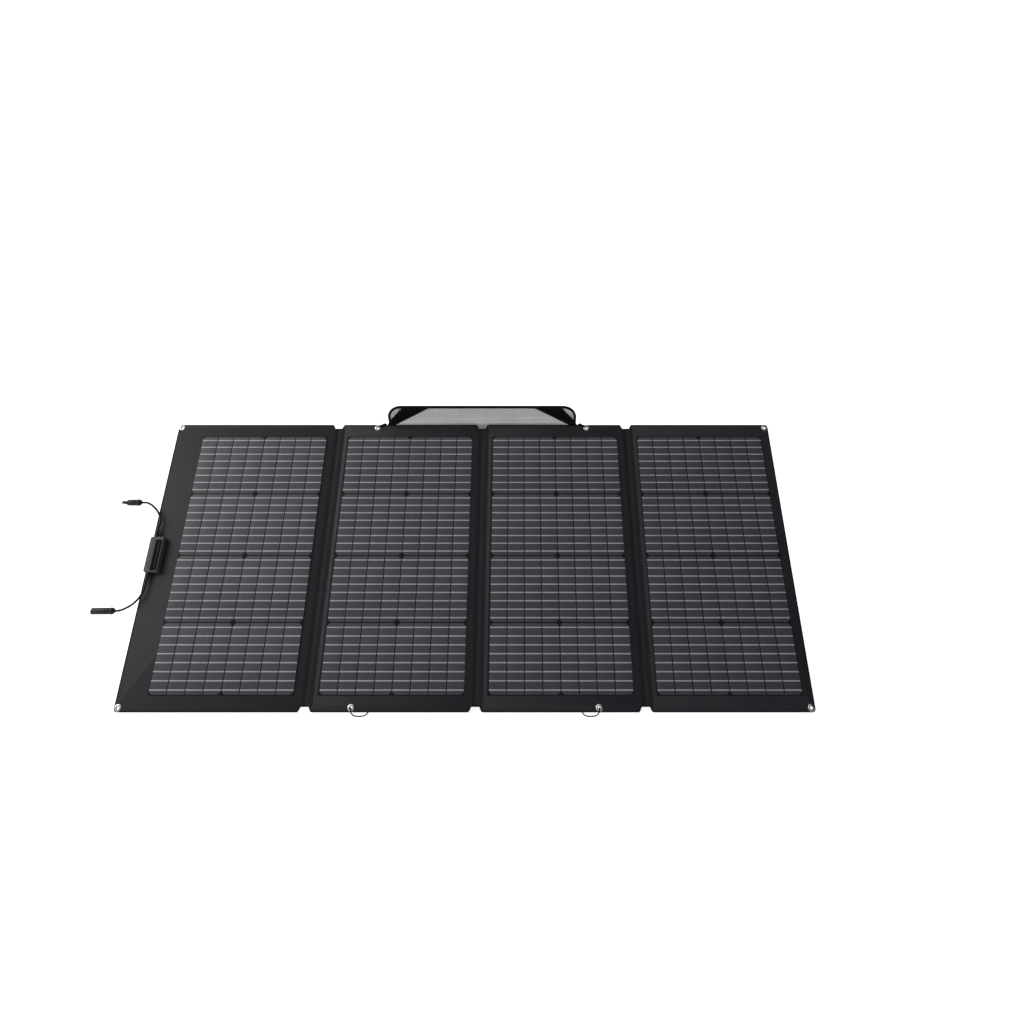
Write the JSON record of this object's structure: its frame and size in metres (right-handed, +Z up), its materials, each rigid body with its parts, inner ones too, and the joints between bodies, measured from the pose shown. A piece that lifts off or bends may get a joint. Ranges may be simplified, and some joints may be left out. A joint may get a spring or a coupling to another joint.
{
  "type": "folding solar panel with carry case",
  "caption": "Fold-out solar panel in four hinged sections, leaning on its opened zip carry case, with a junction box and short leads.",
  "frame": {"origin": "on the ground, under the middle of the kit as it stands set up", "axes": "+X along the unfolded panel to its right, seen from the front; +Y from the panel's front to the case's spine; +Z up"},
  "size_m": [1.9574, 0.9259, 0.7422],
  "materials": {
    "panel_fabric": "matt charcoal coated fabric over a stiff board, fine weave",
    "fold_fabric": "matt black flexible fabric",
    "cell_film": "satin textured film over dark cells with pale ribbons",
    "rear_film": "clear film over the rear of the cells",
    "nickel": "bright nickel plate",
    "box_plastic": "fine moulded grain, dark grey",
    "black_plastic": "moulded, satin black",
    "rubber": "matt black rubber and elastic",
    "circuit": "green circuit board",
    "jacket": "smooth black cable jacket",
    "copper": "tinned copper contact",
    "case_fabric": "black coated woven polyester",
    "silver_lining": "silver-grey lining with a soft sheen",
    "webbing": "black woven webbing and zip tape",
    "black_metal": "black plated metal"
  },
  "bodies": {
    "case_base": {"case_base_shell": "case_fabric", "case_base_lining": "silver_lining", "zip_tape_base": "webbing", "case_spine": "case_fabric", "zip_slider_left": "black_metal", "zip_slider_right": "black_metal"},
    "case_lid": {"case_lid_shell": "case_fabric", "case_lid_lining": "silver_lining", "zip_tape_lid": "webbing", "corner_strap_left": "webbing", "corner_strap_right": "webbing"},
    "section_2": {"section_2_board": "panel_fabric", "section_2_cells": "cell_film", "section_2_rear_window": "rear_film", "fold_strip_1": "fold_fabric", "fold_strip_2": "fold_fabric", "grommet_bottom_mid_left": "nickel", "grommet_top_mid_left": "nickel", "grommet_hook_left": "black_metal", "tie_cord_left": "rubber"},
    "section_1": {"section_1_board": "panel_fabric", "section_1_cells": "cell_film", "section_1_rear_window": "rear_film", "grommet_bottom_left": "nickel", "grommet_top_left": "nickel", "junction_box_base": "box_plastic", "junction_box_gasket": "rubber", "junction_box_cover": "box_plastic", "terminal_board": "circuit", "bypass_diode": "black_plastic", "gland_upper": "black_plastic", "gland_lower": "black_plastic", "strain_relief_upper": "rubber", "strain_relief_lower": "rubber", "lead_upper": "jacket", "lead_lower": "jacket", "male_connector_nut": "black_plastic", "male_connector_body": "black_plastic", "male_connector_pin": "copper", "female_connector_nut": "black_plastic", "female_connector_body": "black_plastic", "female_connector_contact": "copper"},
    "section_3": {"section_3_board": "panel_fabric", "section_3_cells": "cell_film", "section_3_rear_window": "rear_film", "fold_strip_3": "fold_fabric", "grommet_bottom_mid_right": "nickel", "grommet_top_mid_right": "nickel", "grommet_hook_right": "black_metal", "tie_cord_right": "rubber"},
    "section_4": {"section_4_board": "panel_fabric", "section_4_cells": "cell_film", "section_4_rear_window": "rear_film", "grommet_bottom_right": "nickel", "grommet_top_right": "nickel"},
    "handle": {"carry_handle": "webbing"},
    "puller_left": {"zip_puller_left": "black_metal"},
    "puller_right": {"zip_puller_right": "black_metal"}
  },
  "joints": [
    {"name": "panel_lean", "type": "hinge", "parent": "case_base", "child": "section_2", "pos_m": [0.0275, -0.45518, 0.005], "axis": [1, 0, 0], "range_deg": [0, 35]},
    {"name": "fold_left", "type": "hinge", "parent": "section_2", "child": "section_1", "pos_m": [-0.4195, -0.22247, 0.34257], "axis": [0, 0.5736, 0.8192], "range_deg": [0, 177]},
    {"name": "fold_centre", "type": "hinge", "parent": "section_2", "child": "section_3", "pos_m": [0.0275, -0.22247, 0.34257], "axis": [0, 0.5736, 0.8192], "range_deg": [-175, 0]},
    {"name": "fold_right", "type": "hinge", "parent": "section_3", "child": "section_4", "pos_m": [0.4745, -0.22247, 0.34257], "axis": [0, -0.5736, -0.8192], "range_deg": [0, 168]},
    {"name": "case_open", "type": "hinge", "parent": "case_base", "child": "case_lid", "pos_m": [0.0275, 0.44882, 0.04], "axis": [-1, 0, 0], "range_deg": [0, 123]},
    {"name": "handle_swing", "type": "hinge", "parent": "case_base", "child": "handle", "pos_m": [0.3185, 0.02782, 0.0032], "axis": [0, -1, 0], "range_deg": [0, 92]},
    {"name": "puller_left_swing", "type": "hinge", "parent": "case_base", "child": "puller_left", "pos_m": [-0.258, 0.37782, 0.0455], "axis": [-1, 0, 0], "range_deg": [0, 95]},
    {"name": "puller_right_swing", "type": "hinge", "parent": "case_base", "child": "puller_right", "pos_m": [0.313, 0.37782, 0.0455], "axis": [-1, 0, 0], "range_deg": [0, 95]}
  ]
}
